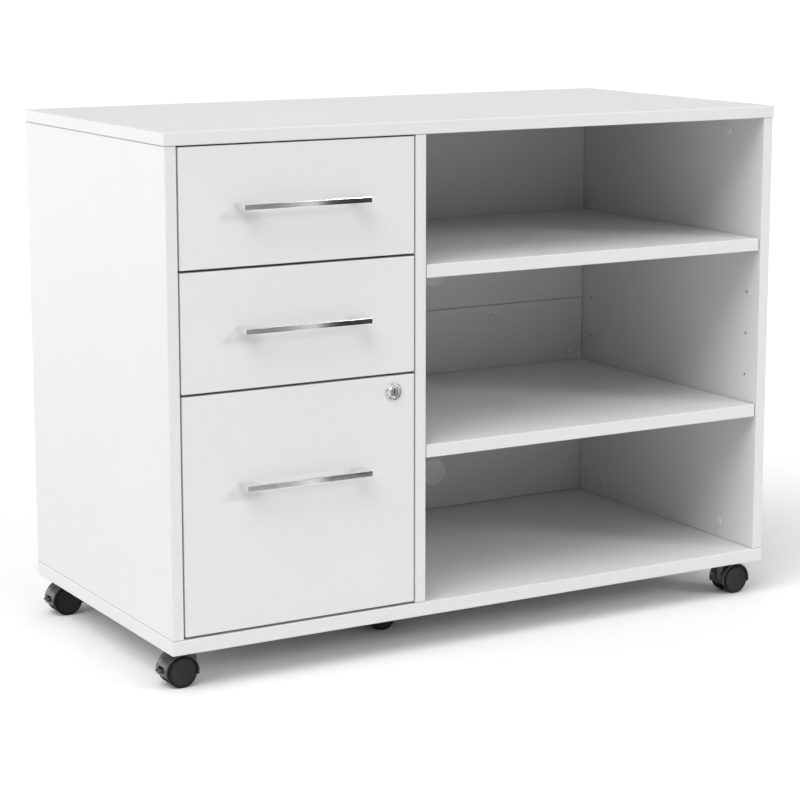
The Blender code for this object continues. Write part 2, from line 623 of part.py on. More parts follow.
def lever_window_mesh():
    """The opening above the hood's lower lip that the brake lever works in."""
    size = (WINDOW_LENGTH, LEVER_WIDTH + 2 * LEVER_GAP, WINDOW_HEAD + WINDOW_FOOT)
    start = CASTER_TRAIL + WHEEL_POCKET_RADIUS - WINDOW_OVERLAP
    middle = WHEEL_RADIUS + (WINDOW_HEAD - WINDOW_FOOT) / 2
    return box_mesh("lever_window", size, (start + WINDOW_LENGTH / 2, 0, middle))


def wheel_profile():
    """Half section of two wheels on one axle: (radius, distance along the axle), from end to end."""
    outer = WHEELS_ACROSS / 2
    inner = outer - WHEEL_WIDTH
    half = [
        (0, outer - DISC_INSET),
        (WHEEL_RADIUS - RIM_WIDTH, outer - DISC_INSET),
        (WHEEL_RADIUS - RIM_CREST, outer),
        (WHEEL_RADIUS - RIM_ROUND, outer - RIM_ROUND / 3),
        (WHEEL_RADIUS, outer - TREAD_ROUND),
        (WHEEL_RADIUS, inner + INNER_CHAMFER),
        (WHEEL_RADIUS - INNER_CHAMFER, inner),
        (AXLE_RADIUS, inner),
    ]
    return half + [(radius, -along) for radius, along in reversed(half)]


def lever_outline():
    """Side view of the brake lever, in X and Z from its pivot: a pedal and the heel that meets the wheels."""
    tip = LEVER_REACH - WHEEL_POCKET_RADIUS - LEVER_PIVOT_OUT
    return [
        (-0.0012, 0.0014),
        (0.0012, 0.0018),
        (tip, -0.0002),
        (tip, -LEVER_THICKNESS * 0.55),
        (0.0010, -LEVER_THICKNESS * 0.75),
        (-0.0012, -0.0014),
    ]


def build_casters():
    right = RIGHT - CASTER_RIGHT_INSET
    left = LEFT + CASTER_SIDE_INSET
    front = FRONT + CASTER_FRONT_INSET
    back = BACK - CASTER_BACK_INSET
    half_turn = math.pi
    places = {
        "front_left": (left, front, half_turn, True),
        "back_left": (left, back, half_turn, True),
        "front_right": (right, front, 0.0, False),
        "back_right": (right, back, 0.0, False),
        "middle": (LEFT + MIDDLE_CASTER_X, FRONT + MIDDLE_CASTER_Y, 0.0, False),
    }
    housings = {braked: housing_mesh("caster_housing", braked) for braked in (False, True)}
    for corner, (x, y, turn, braked) in places.items():
        build_caster("caster_" + corner, (x, y, 0), turn, housings[braked], braked)


def build_caster(name, location, turn, housing, braked):
    swivel = add_axis(name + "_swivel", location, turn)
    build_plate(name + "_plate", location)
    smooth(add_object(name + "_housing", housing, "caster_plastic", swivel))
    axle = (CASTER_TRAIL, 0, WHEEL_RADIUS)
    wheels = turned(name + "_wheels", wheel_profile(), WHEEL_STEPS, "wheel_plastic", swivel, axle)
    wheels.rotation_euler.x = math.pi / 2
    if braked:
        pivot_x = CASTER_TRAIL + WHEEL_POCKET_RADIUS + LEVER_PIVOT_OUT
        pivot = (pivot_x, 0, WHEEL_RADIUS + LEVER_PIVOT_RISE)
        mesh = outline_mesh(name + "_brake_lever", lever_outline(), LEVER_WIDTH)
        lever = add_object(name + "_brake_lever", mesh, "caster_plastic", swivel, pivot)
        lever.rotation_euler.x = math.pi / 2
        rounded(lever, LEVER_EDGE_ROUND, 1)


def build_plate(name, location):
    """The plate screwed under the cabinet, with the collar and stem that the housing turns on."""
    top = CASTER_HEIGHT - GAP
    size = (PLATE_SIZE, PLATE_SIZE, PLATE_THICKNESS)
    plate_centre = (0, 0, top - PLATE_THICKNESS / 2)
    plate = add_object(name, box_mesh(name, size, plate_centre), "zinc_steel", None, location)
    collar_foot = WHEEL_RADIUS + HOOD_RADIUS + SWIVEL_BLOCK_RISE + GAP
    stem_foot = WHEEL_RADIUS + STEM_RISE
    profile = [
        (0, top - COLLAR_SINK),
        (COLLAR_RADIUS, top - COLLAR_SINK),
        (COLLAR_RADIUS, collar_foot),
        (STEM_RADIUS, collar_foot),
        (STEM_RADIUS, stem_foot),
        (0, stem_foot),
    ]
    stem = turned(name + "_stem", profile, SMALL_STEPS, None, None, location)
    cut(plate, stem, "UNION")


# ---- the whole cabinet -----------------------------------------------------------------------------
pieces, cutters = start_scene()
add_finishes()
build_carcass()
for level, level_foot in (("upper", UPPER_BOTTOM), ("middle", MIDDLE_BOTTOM)):
    box_side_head = level_foot + BOX_FRONT_HEIGHT - BOX_SIDE_DROP
    build_drawer(level, level_foot, BOX_FRONT_HEIGHT, box_side_head, level_foot + BOX_HANDLE_RISE)
file_handle_z = FILE_TOP - FILE_HANDLE_DROP
file_drawer = build_drawer("file", FILE_BOTTOM, FILE_FRONT_HEIGHT, FILE_SIDE_HEAD, file_handle_z)
build_lock(*file_drawer)
build_casters()
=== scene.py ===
# %% [markdown]
# # A rolling cabinet, finished and lit
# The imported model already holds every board, slide, handle and caster at its real size.
# This script gives each of them its finish, swaps the small round parts for finer ones,
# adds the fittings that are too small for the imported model, and sets up a plain studio.
# Everything is in metres. X runs left to right, Y from front to back, and Z up.

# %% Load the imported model
import math

import bmesh
import bpy
from mathutils import Matrix, Vector


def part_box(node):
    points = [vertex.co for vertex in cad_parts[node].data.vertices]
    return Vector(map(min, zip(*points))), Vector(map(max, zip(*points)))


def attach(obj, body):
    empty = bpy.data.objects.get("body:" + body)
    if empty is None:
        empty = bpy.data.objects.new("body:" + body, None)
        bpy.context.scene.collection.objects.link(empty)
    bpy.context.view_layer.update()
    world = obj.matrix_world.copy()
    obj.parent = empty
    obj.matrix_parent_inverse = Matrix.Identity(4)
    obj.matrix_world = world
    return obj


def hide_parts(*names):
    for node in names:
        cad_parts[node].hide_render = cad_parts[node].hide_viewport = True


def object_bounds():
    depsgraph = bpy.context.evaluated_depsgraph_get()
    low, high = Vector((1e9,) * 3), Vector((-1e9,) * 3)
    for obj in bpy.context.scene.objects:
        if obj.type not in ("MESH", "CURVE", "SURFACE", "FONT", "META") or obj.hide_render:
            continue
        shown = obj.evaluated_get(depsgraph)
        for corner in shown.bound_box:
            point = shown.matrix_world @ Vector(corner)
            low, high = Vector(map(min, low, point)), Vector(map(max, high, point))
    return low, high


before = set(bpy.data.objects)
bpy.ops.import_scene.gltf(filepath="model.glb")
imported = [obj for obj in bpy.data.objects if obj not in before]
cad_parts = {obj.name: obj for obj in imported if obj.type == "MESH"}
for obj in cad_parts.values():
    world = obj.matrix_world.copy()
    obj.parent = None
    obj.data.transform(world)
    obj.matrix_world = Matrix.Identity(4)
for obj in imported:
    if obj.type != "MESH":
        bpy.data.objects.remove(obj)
cad_low, cad_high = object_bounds()
MM = 0.001
print("model size in mm:", [round(side / MM, 1) for side in cad_high - cad_low])

# %% [markdown]
# ## The camera
# The cabinet is seen from the front left and a little from above, with a long lens,
# so its upright edges stay nearly parallel. The eye is given from the lower front left
# corner of the body. A small downward shift keeps the tilt, and so the splay of the
# uprights, as low as the framing allows.

# %% Camera
EYE_FROM_CORNER = Vector((-1.1416, -2.5196, 0.8594))
TURN_RIGHT = math.radians(30.10)
TILT_DOWN = math.radians(10.15)
LENS = 106.0  # focal length in millimetres
SHIFT = -0.05  # of the frame's width
top_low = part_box("top_panel")[0]
body_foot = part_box("bottom_panel")[0].z
body_corner = Vector((top_low.x, top_low.y, body_foot))

camera = bpy.data.objects.new("camera", bpy.data.cameras.new("camera"))
camera.data.lens = LENS
camera.data.shift_y = SHIFT
camera.location = body_corner + EYE_FROM_CORNER
ahead = Vector((math.sin(TURN_RIGHT), math.cos(TURN_RIGHT), -math.tan(TILT_DOWN)))
camera.rotation_euler = ahead.to_track_quat("-Z", "Y").to_euler()
bpy.context.scene.collection.objects.link(camera)
bpy.context.scene.camera = camera
print("camera stands", round((camera.location - body_corner).length, 3), "m from the corner")

# %% [markdown]
# ## A small kit for node materials
# A finish is a Principled shader whose colour, roughness and normal come from noise on
# the piece's own coordinates. One helper adds a node and wires it, which keeps each
# finish below down to a few readable lines.

# %% Node helpers
def new_finish(name, roughness=0.5, metallic=0.0, ior=1.5):
    finish = bpy.data.materials.new(name)
    finish.use_nodes = True
    shader = finish.node_tree.nodes["Principled BSDF"]
    shader.inputs["Roughness"].default_value = roughness
    shader.inputs["Metallic"].default_value = metallic
    shader.inputs["IOR"].default_value = ior
    return finish, finish.node_tree, shader


def node(tree, kind, inputs=None, **settings):
    """A new node. Inputs are numbers, colours or other nodes' outputs."""
    made = tree.nodes.new("ShaderNode" + kind)
    for name, value in settings.items():
        setattr(made, name, value)
    for socket, value in (inputs or {}).items():
        if isinstance(value, bpy.types.NodeSocket):
            tree.links.new(value, made.inputs[socket])
        else:
            made.inputs[socket].default_value = value
    return made


def maths(tree, operation, *values):
    return node(tree, "Math", dict(enumerate(values)), operation=operation).outputs[0]


def own_place(tree):
    """The piece's own coordinates, in metres."""
    return node(tree, "TexCoord").outputs["Object"]


def noise(tree, place, size, detail=2.0, roughness=0.5):
    """Soft noise whose lumps measure about size metres."""
    settings = {"Vector": place, "Scale": 1 / size, "Detail": detail, "Roughness": roughness}
    return node(tree, "TexNoise", settings).outputs["Fac"]


def between(tree, value, low, high, start=0.0, end=1.0):
    """Takes value from the range start..end to the range low..high, and holds it there."""
    settings = {"Value": value, "From Min": start, "From Max": end, "To Min": low, "To Max": high}
    return node(tree, "MapRange", settings).outputs["Result"]


def blend(tree, share, first, second):
    """The colour that is first at share 0 and second at share 1."""
    made = node(tree, "Mix", {0: share}, data_type="RGBA")
    for socket, value in ((6, first), (7, second)):
        if isinstance(value, bpy.types.NodeSocket):
            tree.links.new(value, made.inputs[socket])
        else:
            made.inputs[socket].default_value = (*value, 1.0)
    return made.outputs[2]


def bump(tree, height, depth, below=None):
    """A normal from a height of 0 to 1 that stands for depth metres."""
    settings = {"Height": height, "Distance": depth, "Strength": 1.0}
    if below is not None:
        settings["Normal"] = below
    return node(tree, "Bump", settings).outputs["Normal"]


def wear(tree, shader, colour=None, roughness=None, normal=None):
    """Wires the parts of a finish that change over the surface."""
    for socket, value in (("Base Color", colour), ("Roughness", roughness), ("Normal", normal)):
        if value is not None:
            tree.links.new(value, shader.inputs[socket])


def give(finish, *nodes):
    """Puts a finish on CAD nodes, by name."""
    for name in nodes:
        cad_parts[name].data.materials.clear()
        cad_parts[name].data.materials.append(finish)


print("node helpers ready")

# %% [markdown]
# ## White laminate boards
# The boards are particleboard faced with white melamine and closed with a plastic edge
# band. From afar they look plain. Up close there is a fine pebble in the sheen, a slow
# ripple left by the press, and a hairline where band and face meet. Each board is a box
# along the axes, so the distance to its nearest edge is the middle one of its three
# insets, which a few Math nodes find from the board's own corners.

# %% Laminate
BAND = 0.9 * MM  # thickness of the edge band
HAIRLINE = 0.12 * MM  # half width of the line where band and face meet
RUBBED_WIDTH = 1.2 * MM  # how far wear reaches in from an edge


def edge_distance(tree, place, low, high):
    """How far a point on a box's surface is from the box's nearest edge, in metres."""
    centred = node(tree, "VectorMath", {0: place, 1: (low + high) / 2}, operation="SUBTRACT")
    away = node(tree, "VectorMath", {0: centred.outputs[0]}, operation="ABSOLUTE")
    inset = node(tree, "VectorMath", {0: (high - low) / 2, 1: away.outputs[0]}, operation="SUBTRACT")
    x, y, z = node(tree, "SeparateXYZ", {0: inset.outputs[0]}).outputs
    small = maths(tree, "MINIMUM", x, y)
    large = maths(tree, "MAXIMUM", x, y)
    return maths(tree, "MAXIMUM", small, maths(tree, "MINIMUM", large, z))


def laminate(board):
    """White melamine for one board, with its edge band's hairline and softly rubbed edges."""
    low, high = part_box(board)
    finish, tree, shader = new_finish("laminate_" + board, roughness=0.42)
    place = own_place(tree)
    to_edge = edge_distance(tree, place, low, high)
    clouds = noise(tree, place, 0.22, detail=3.0)
    colour = blend(tree, clouds, (0.665, 0.665, 0.668), (0.690, 0.690, 0.688))
    off_line = maths(tree, "ABSOLUTE", maths(tree, "SUBTRACT", to_edge, BAND))
    hairline = between(tree, off_line, 0.35, 0.0, 0.0, HAIRLINE)
    colour = blend(tree, hairline, colour, (0.46, 0.45, 0.44))
    scuffs = between(tree, noise(tree, place, 6 * MM, detail=4.0), 0.0, 1.0, 0.52, 0.66)
    rubbed = maths(tree, "MULTIPLY", between(tree, to_edge, 0.30, 0.0, 0.0, RUBBED_WIDTH), scuffs)
    colour = blend(tree, rubbed, colour, (0.60, 0.59, 0.57))
    sheen = between(tree, noise(tree, place, 35 * MM, detail=2.0), 0.38, 0.47)
    ripple = bump(tree, noise(tree, place, 90 * MM, detail=1.0), 0.05 * MM)
    pebble = bump(tree, noise(tree, place, 0.9 * MM, detail=2.0), 0.012 * MM, ripple)
    wear(tree, shader, colour, sheen, pebble)
    give(finish, board)


drawers = ("upper", "middle", "file")
boards = ["top_panel", "bottom_panel", "left_side_panel", "right_side_panel", "divider_panel"]
boards += ["lower_back_board", "upper_back_board", "lower_shelf", "upper_shelf"]
boards += [f"{drawer}_drawer_front" for drawer in drawers]
for board in boards:
    laminate(board)
print("laminate on", len(boards), "boards")

# %% [markdown]
# ## Foil-wrapped drawer boards
# Inside the drawers the boards are cheaper: particleboard in a printed foil with a faint
# grain that runs from front to back, and a hardboard bottom that is white above and left
# brown and fibrous below. The grain is noise that is stretched along Y.

# %% Drawer foil and hardboard
def stretched(tree, place, along, across):
    """The same coordinates, squeezed so that noise of size 1 is along by across metres."""
    scale = (1 / across, 1 / along, 1 / across)
    return node(tree, "Mapping", {"Vector": place, "Scale": scale}).outputs[0]


def drawer_foil():
    finish, tree, shader = new_finish("drawer_foil", roughness=0.5)
    place = own_place(tree)
    grain = noise(tree, stretched(tree, place, 90 * MM, 1.4 * MM), 1.0, detail=5.0, roughness=0.6)
    clouds = noise(tree, place, 0.15)
    colour = blend(tree, grain, (0.79, 0.79, 0.785), (0.84, 0.84, 0.835))
    colour = blend(tree, between(tree, clouds, 0.0, 0.25), colour, (0.76, 0.755, 0.745))
    relief = bump(tree, grain, 0.02 * MM)
    wear(tree, shader, colour, between(tree, grain, 0.45, 0.6), relief)
    return finish


def hardboard():
    """White above and brown below, told apart by which way the face looks."""
    finish, tree, shader = new_finish("hardboard", roughness=0.55)
    place = own_place(tree)
    normal = node(tree, "NewGeometry").outputs["Normal"]
    down = between(tree, node(tree, "SeparateXYZ", {0: normal}).outputs[2], 1.0, 0.0, -0.6, -0.4)
    fibre = noise(tree, place, 2.5 * MM, detail=6.0, roughness=0.7)
    brown = blend(tree, fibre, (0.20, 0.115, 0.06), (0.36, 0.23, 0.13))
    white = blend(tree, noise(tree, place, 0.1), (0.80, 0.80, 0.79), (0.84, 0.84, 0.83))
    relief = bump(tree, fibre, 0.06 * MM)
    wear(tree, shader, blend(tree, down, white, brown), between(tree, down, 0.5, 0.85), relief)
    return finish


foil, base_board = drawer_foil(), hardboard()
for drawer in drawers:
    give(foil, *[f"{drawer}_drawer_{side}" for side in ("left_side", "right_side", "back")])
    give(base_board, f"{drawer}_drawer_bottom")
print("foil and hardboard on", 4 * len(drawers), "drawer boards")

# %% [markdown]
# ## Metals
# Three metals show. The handles are polished chrome: a very smooth mirror whose surface
# waves a little, so reflections bend as they do on plated bar. The lock is nickel with
# a finer, duller polish. The slides and caster plates are rolled steel under bright zinc,
# with streaks along the rolling direction and a few dull patches.

# %% Chrome, nickel and zinc
def chrome():
    finish, tree, shader = new_finish("chrome", roughness=0.07, metallic=1.0)
    place = own_place(tree)
    haze = noise(tree, place, 12 * MM, detail=3.0)
    colour = blend(tree, haze, (0.80, 0.81, 0.82), (0.90, 0.90, 0.90))
    polish = noise(tree, stretched(tree, place, 1.5 * MM, 9 * MM), 1.0)
    wear(tree, shader, colour, between(tree, haze, 0.05, 0.12), bump(tree, polish, 0.0015 * MM))
    return finish


def nickel():
    finish, tree, shader = new_finish("nickel", roughness=0.2, metallic=1.0)
    place = own_place(tree)
    haze = noise(tree, place, 2.5 * MM, detail=4.0)
    colour = blend(tree, haze, (0.62, 0.62, 0.61), (0.74, 0.74, 0.74))
    wear(tree, shader, colour, between(tree, haze, 0.14, 0.26), bump(tree, haze, 0.003 * MM))
    return finish


def zinc():
    finish, tree, shader = new_finish("zinc", roughness=0.35, metallic=1.0)
    place = own_place(tree)
    streaks = noise(tree, stretched(tree, place, 60 * MM, 0.7 * MM), 1.0, detail=3.0)
    patches = noise(tree, place, 14 * MM, detail=3.0)
    colour = blend(tree, patches, (0.50, 0.51, 0.53), (0.70, 0.71, 0.72))
    colour = blend(tree, between(tree, streaks, 0.0, 0.3), colour, (0.42, 0.43, 0.45))
    wear(tree, shader, colour, between(tree, patches, 0.26, 0.44), bump(tree, streaks, 0.006 * MM))
    return finish


bright, plated, galvanised = chrome(), nickel(), zinc()
give(bright, *[f"{drawer}_handle" for drawer in drawers])
slides = [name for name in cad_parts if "_slide_" in name]
give(galvanised, *slides)
print("zinc on", len(slides), "slide members")

# %% [markdown]
# ## Plastics
# The casters are black moulded nylon: a hood with a fine spark-eroded texture, and a
# wheel whose flat disc is a little greyer than its tread. The cable grommets are a pale
# plastic that stands out a little from the boards, and the cam caps are matched to the
# boards. The walls of the lock's keyway get a near-black matt colour that is painted shade,
# standing in for the shadow inside the slot.

# %% Moulded plastics
def plastic(name, dark, light, roughness, pebble_size, pebble_depth, ior=1.5):
    """Moulded plastic: cloudy colour between two shades, uneven gloss and a fine pebble."""
    finish, tree, shader = new_finish(name, roughness=sum(roughness) / 2, ior=ior)
    place = own_place(tree)
    clouds = noise(tree, place, 9 * MM, detail=3.0)
    gloss = between(tree, noise(tree, place, 4 * MM, detail=3.0), *roughness)
    pebble = noise(tree, place, pebble_size, detail=2.0)
    wear(tree, shader, blend(tree, clouds, dark, light), gloss, bump(tree, pebble, pebble_depth))
    return finish


hood_black = plastic("hood_black", (0.020,) * 3, (0.028,) * 3, (0.24, 0.34), 0.5 * MM, 0.008 * MM, 1.6)
disc_grey = plastic("disc_grey", (0.014,) * 3, (0.019,) * 3, (0.45, 0.58), 0.6 * MM, 0.010 * MM, 1.35)
tread_black = plastic("tread_black", (0.004,) * 3, (0.009,) * 3, (0.5, 0.65), 0.8 * MM, 0.02 * MM, 1.3)
pale = plastic("pale_plastic", (0.84, 0.85, 0.86), (0.88, 0.89, 0.90), (0.35, 0.5), 0.7 * MM, 0.012 * MM)
cap_white = plastic("cap_white", (0.66, 0.66, 0.66), (0.69, 0.69, 0.69), (0.4, 0.5), 0.7 * MM, 0.01 * MM)
# The keyway finish below is painted shade: near black and matt, for the shadow inside the lock's keyway.
keyway_painted_shade = plastic("keyway_painted_shade", (0.006,) * 3, (0.012,) * 3, (0.6, 0.8), 0.5 * MM, 0.01 * MM, 1.2)
plastics = (hood_black, disc_grey, tread_black, pale, cap_white, keyway_painted_shade)
print("plastics:", [finish.name for finish in plastics])

# %% [markdown]
# ## Making new pieces
# Small round parts are spun from a half section, the way a lathe or a round mould makes
# them. Each piece then gets its doubles merged, its faces turned outwards and its round
# faces smoothed, and it is tied to the body of the model that carries it.

# %% Piece helpers
WELD = 0.002 * MM  # closer points are merged
SHARP = math.radians(32)  # edges that turn more than this stay sharp
UP, AWAY, RIGHTWARDS = Vector((0, 0, 1)), Vector((0, 1, 0)), Vector((1, 0, 0))


def clean(bm):
    bmesh.ops.remove_doubles(bm, verts=bm.verts, dist=WELD)
    bmesh.ops.dissolve_degenerate(bm, dist=WELD, edges=bm.edges)
    bmesh.ops.recalc_face_normals(bm, faces=bm.faces)


def piece_from(bm, name, finishes, body, slot, *replaced):
    """A finished piece from a bmesh, riding on a body and standing for the nodes it replaces."""
    clean(bm)
    mesh = bpy.data.meshes.new(name)
    bm.to_mesh(mesh)
    bm.free()
    for finish in finishes:
        mesh.materials.append(finish)
    mesh.shade_smooth()
    mesh.set_sharp_from_angle(angle=SHARP)
    piece = bpy.data.objects.new(name, mesh)
    bpy.context.scene.collection.objects.link(piece)
    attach(piece, body)
    if replaced:
        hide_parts(*replaced)
    print(name, "has", len(mesh.polygons), "faces")


def spin(bm, section, centre, axis, across, steps=72, angle=math.tau):
    """Spins (radius, distance along the axis) points about an axis, starting at across."""
    axis, across = Vector(axis), Vector(across)
    corners = [bm.verts.new(centre + across * radius + axis * along) for radius, along in section]
    line = [bm.edges.new(pair) for pair in zip(corners, corners[1:])]
    bmesh.ops.spin(
        bm, geom=corners + line, cent=centre, axis=axis, angle=angle, steps=steps,
        use_merge=angle == math.tau, use_duplicate=False,
    )


def round_edges(bm, edges, radius, segments):
    bmesh.ops.bevel(
        bm, geom=edges, offset=radius, offset_type="OFFSET", affect="EDGES",
        segments=segments, profile=0.5, material=-1,
    )


def sharp_block(bm, low, high):
    """A block between two corners. Its eight points are returned."""
    low, high = Vector(low), Vector(high)
    place = Matrix.Translation((low + high) / 2) @ Matrix.Diagonal((*(high - low), 1.0))
    return bmesh.ops.create_cube(bm, size=1.0, matrix=place)["verts"]


def soft_block(bm, low, high, radius, segments=3):
    """A block between two corners with all its edges rounded."""
    edges = list({edge for point in sharp_block(bm, low, high) for edge in point.link_edges})
    round_edges(bm, edges, radius, segments)


def arc(centre, radius, start, end, steps):
    """Points of an arc in a half section, from one angle to another in degrees."""
    turns = [math.radians(start + (end - start) * step / steps) for step in range(steps + 1)]
    return [(centre[0] + radius * math.cos(a), centre[1] + radius * math.sin(a)) for a in turns]


def solid(bm):
    """A helper object that holds a bmesh as a closed mesh."""
    clean(bm)
    mesh = bpy.data.meshes.new("helper")
    bm.to_mesh(mesh)
    bm.free()
    helper = bpy.data.objects.new("helper", mesh)
    bpy.context.scene.collection.objects.link(helper)
    return helper


def worked(first, *steps):
    """A new bmesh: the first with each (operation, bmesh) joined to it or cut from it."""
    base = solid(first)
    helpers = [base]
    for operation, other in steps:
        helper = solid(other)
        helpers.append(helper)
        boolean = base.modifiers.new("work", "BOOLEAN")
        boolean.operation = operation
        boolean.object = helper
    bpy.context.view_layer.update()
    shape = base.evaluated_get(bpy.context.evaluated_depsgraph_get())
    made = bmesh.new()
    made.from_mesh(shape.to_mesh())
    shape.to_mesh_clear()
    for helper in helpers:
        mesh = helper.data
        bpy.data.objects.remove(helper)
        bpy.data.meshes.remove(mesh)
    return made


def drawn(outline, place, depth):
    """A closed outline in X and Y, pushed along its own Z by depth, then put in place."""
    bm = bmesh.new()
    face = bm.faces.new([bm.verts.new((x, y, 0)) for x, y in outline])
    pushed = bmesh.ops.extrude_face_region(bm, geom=[face])["geom"]
    far = [part for part in pushed if isinstance(part, bmesh.types.BMVert)]
    bmesh.ops.translate(bm, verts=far, vec=(0, 0, depth))
    bmesh.ops.transform(bm, matrix=place, verts=bm.verts)
    return bm


def cut_level(bm, height):
    """Takes away all that lies below a height."""
    everything = bm.verts[:] + bm.edges[:] + bm.faces[:]
    bmesh.ops.bisect_plane(bm, geom=everything, plane_co=UP * height, plane_no=UP, clear_inner=True)


print("piece helpers ready")

# %% [markdown]
# ## Caster wheels
# Each caster runs on two wheels on one axle. A wheel is spun from its half section: a
# flat disc, a shallow moulding line, and a tyre with round shoulders. The tyre's faces
# take the darker tread plastic, which is told by how far they are from the axle.

# %% Wheels
CASTERS = ("front_left", "back_left", "front_right", "back_right", "middle")
DISC_EDGE = 3.4 * MM  # from the tread to the disc
WHEEL_WIDTH = 10.6 * MM  # of one wheel of the pair


def middle(name):
    low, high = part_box(name)
    return (low + high) / 2


def wheel_section(radius, across):
    """From the middle of one disc, over both tyres, to the middle of the other."""
    outer = across / 2
    inner = outer - WHEEL_WIDTH
    disc = radius - DISC_EDGE
    shoulder = arc((radius - 2.0 * MM, outer - 2.2 * MM), 2.0 * MM, 78, 0, 8)
    half = [(0, outer - 0.5 * MM), (3.0 * MM, outer - 0.5 * MM), (3.3 * MM, outer - 0.8 * MM)]
    half += [(disc - 1.0 * MM, outer - 0.8 * MM), (disc - 0.5 * MM, outer - 0.5 * MM)]
    half += [(disc, outer - 0.5 * MM), (disc + 0.1 * MM, outer - 1.0 * MM)]
    half += [(disc + 0.5 * MM, outer - 1.0 * MM), *shoulder]
    half += arc((radius - 1.2 * MM, inner + 1.2 * MM), 1.2 * MM, 0, -80, 5)
    half += [(3.2 * MM, inner)]
    return half + [(distance, -along) for distance, along in reversed(half)]


def build_wheels(corner):
    name = f"caster_{corner}_wheels"
    low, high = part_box(name)
    axle = (low + high) / 2
    radius = (high.z - low.z) / 2
    bm = bmesh.new()
    spin(bm, wheel_section(radius, high.y - low.y), axle, AWAY, RIGHTWARDS, steps=96)
    for face in bm.faces:
        spoke = face.calc_center_median() - axle
        face.material_index = int(math.hypot(spoke.x, spoke.z) > radius - DISC_EDGE)
    piece_from(bm, f"fine_{name}", (disc_grey, tread_black), name, "wheel_plastic", name)


for corner in CASTERS:
    build_wheels(corner)

# %% [markdown]
# ## Caster hoods
# One moulding holds it together: a half-round hood over the wheels, a web between them
# and a block that turns on the stem. The hood is a rounded strip, spun over the axle to
# a little below it on both sides, cut level there and closed; the rest is joined to it.
# The braked casters have a window for the pedal and a U-shaped line where a tongue flexes.

# %% Hoods
FORK = "caster_front_right_"
axle_place = middle(FORK + "wheels")
swivel_place = middle(FORK + "plate")
WHEEL_RADIUS = axle_place.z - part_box(FORK + "wheels")[0].z
TRAIL = axle_place.x - swivel_place.x
hood_low, hood_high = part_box(FORK + "housing")
HOOD_OUTER = hood_high.x - axle_place.x
HOOD_INNER = WHEEL_RADIUS + 0.8 * MM  # the wheel turns clear of it
HOOD_HALF = (hood_high.y - hood_low.y) / 2
HOOD_SKIRT = 5 * MM  # the lip hangs this far below the axle
WEB = 9.8 * MM  # thickness of the web between the wheels
HOOD_SWEEP = math.radians(28)  # how far below the axle each end is spun before it is cut
caster_sizes = {"wheel": WHEEL_RADIUS, "trail": TRAIL, "hood": HOOD_OUTER}
print("in mm:", {part: round(size / MM, 1) for part, size in caster_sizes.items()})


def rounded_strip(inner, outer, half, corner):
    """Closed section of the hood's shell, with four round corners."""
    section = []
    turns = (
        (outer - corner, 1, 0), (inner + corner, 1, 90),
        (inner + corner, -1, 180), (outer - corner, -1, 270),
    )
    for round_middle, side, start in turns:
        section += arc((round_middle, side * (half - corner)), corner, start, start + 90, 4)
    section.append((outer, 0))
    return section + section[:1]


def hood_shell(axle):
    """The round strip from lip to lip. Both ends are cut level, a little below the axle."""
    start = Matrix.Rotation(-HOOD_SWEEP, 3, "Y") @ -RIGHTWARDS
    section = rounded_strip(HOOD_INNER, HOOD_OUTER, HOOD_HALF, 0.8 * MM)
    bm = bmesh.new()
    spin(bm, section, axle, AWAY, start, 96, math.pi + 2 * HOOD_SWEEP)
    cut_level(bm, axle.z - HOOD_SKIRT)
    bmesh.ops.remove_doubles(bm, verts=bm.verts, dist=WELD)
    rims = [edge for edge in bm.edges if edge.is_boundary]
    ends = bmesh.ops.holes_fill(bm, edges=rims)["faces"]
    round_edges(bm, list({edge for face in ends for edge in face.edges}), 0.35 * MM, 2)
    return bm


def rod(centre, axis, radius, length, steps=48):
    """A closed rod along an axis, through its centre."""
    bm = bmesh.new()
    turn = UP.rotation_difference(Vector(axis)).to_matrix().to_4x4()
    bmesh.ops.create_cone(
        bm, cap_ends=True, segments=steps, radius1=radius, radius2=radius, depth=length,
        matrix=Matrix.Translation(centre) @ turn @ Matrix.Rotation(math.pi / steps, 4, "Z"),
    )
    return bm


def half_web(axle):
    """The web between the wheels, which ends a little above the hood's lips."""
    bm = rod(axle, AWAY, HOOD_INNER + 1.0 * MM, WEB, 96)
    cut_level(bm, axle.z - HOOD_SKIRT + 1 * MM)
    bmesh.ops.holes_fill(bm, edges=[edge for edge in bm.edges if edge.is_boundary])
    return bm


def swivel_block(top):
    """The round block over the wheels that the stem stands in."""
    foot = WHEEL_RADIUS - 3 * MM
    section = [(0, top), (8.0 * MM, top), *arc((8.0 * MM, top - 1.0 * MM), 1.0 * MM, 80, 0, 4)]
    section += [(9.0 * MM, foot + 0.6 * MM), (8.4 * MM, foot), (0, foot)]
    bm = bmesh.new()
    spin(bm, section, Vector((0, 0, 0)), UP, RIGHTWARDS, steps=64)
    return bm


def tongue_line(axle):
    """A narrow U, open below, on the hood's face halfway up its outer side."""
    wide, tall, line = 2.6 * MM, 10 * MM, 0.8 * MM
    right = [(wide, 0), (wide, tall - wide), *arc((0, tall - wide), wide, 15, 90, 5)]
    inner = [(x * (1 - line / wide), y if y < tall - wide else y - line * 0.9) for x, y in right]
    outline = right + [(-x, y) for x, y in reversed(right[:-1])]
    outline += [(-x, y) for x, y in inner[:-1]] + list(reversed(inner))
    lean = Matrix.Rotation(math.radians(-38), 4, "Y")
    stand = Matrix(((0, 0, 1, 0), (1, 0, 0, 0), (0, 1, 0, 0), (0, 0, 0, 1)))
    on_face = Matrix.Translation((HOOD_OUTER - 1.4 * MM, 0, -5 * MM))
    return drawn(outline, Matrix.Translation(axle) @ lean @ on_face @ stand, 3.0 * MM)


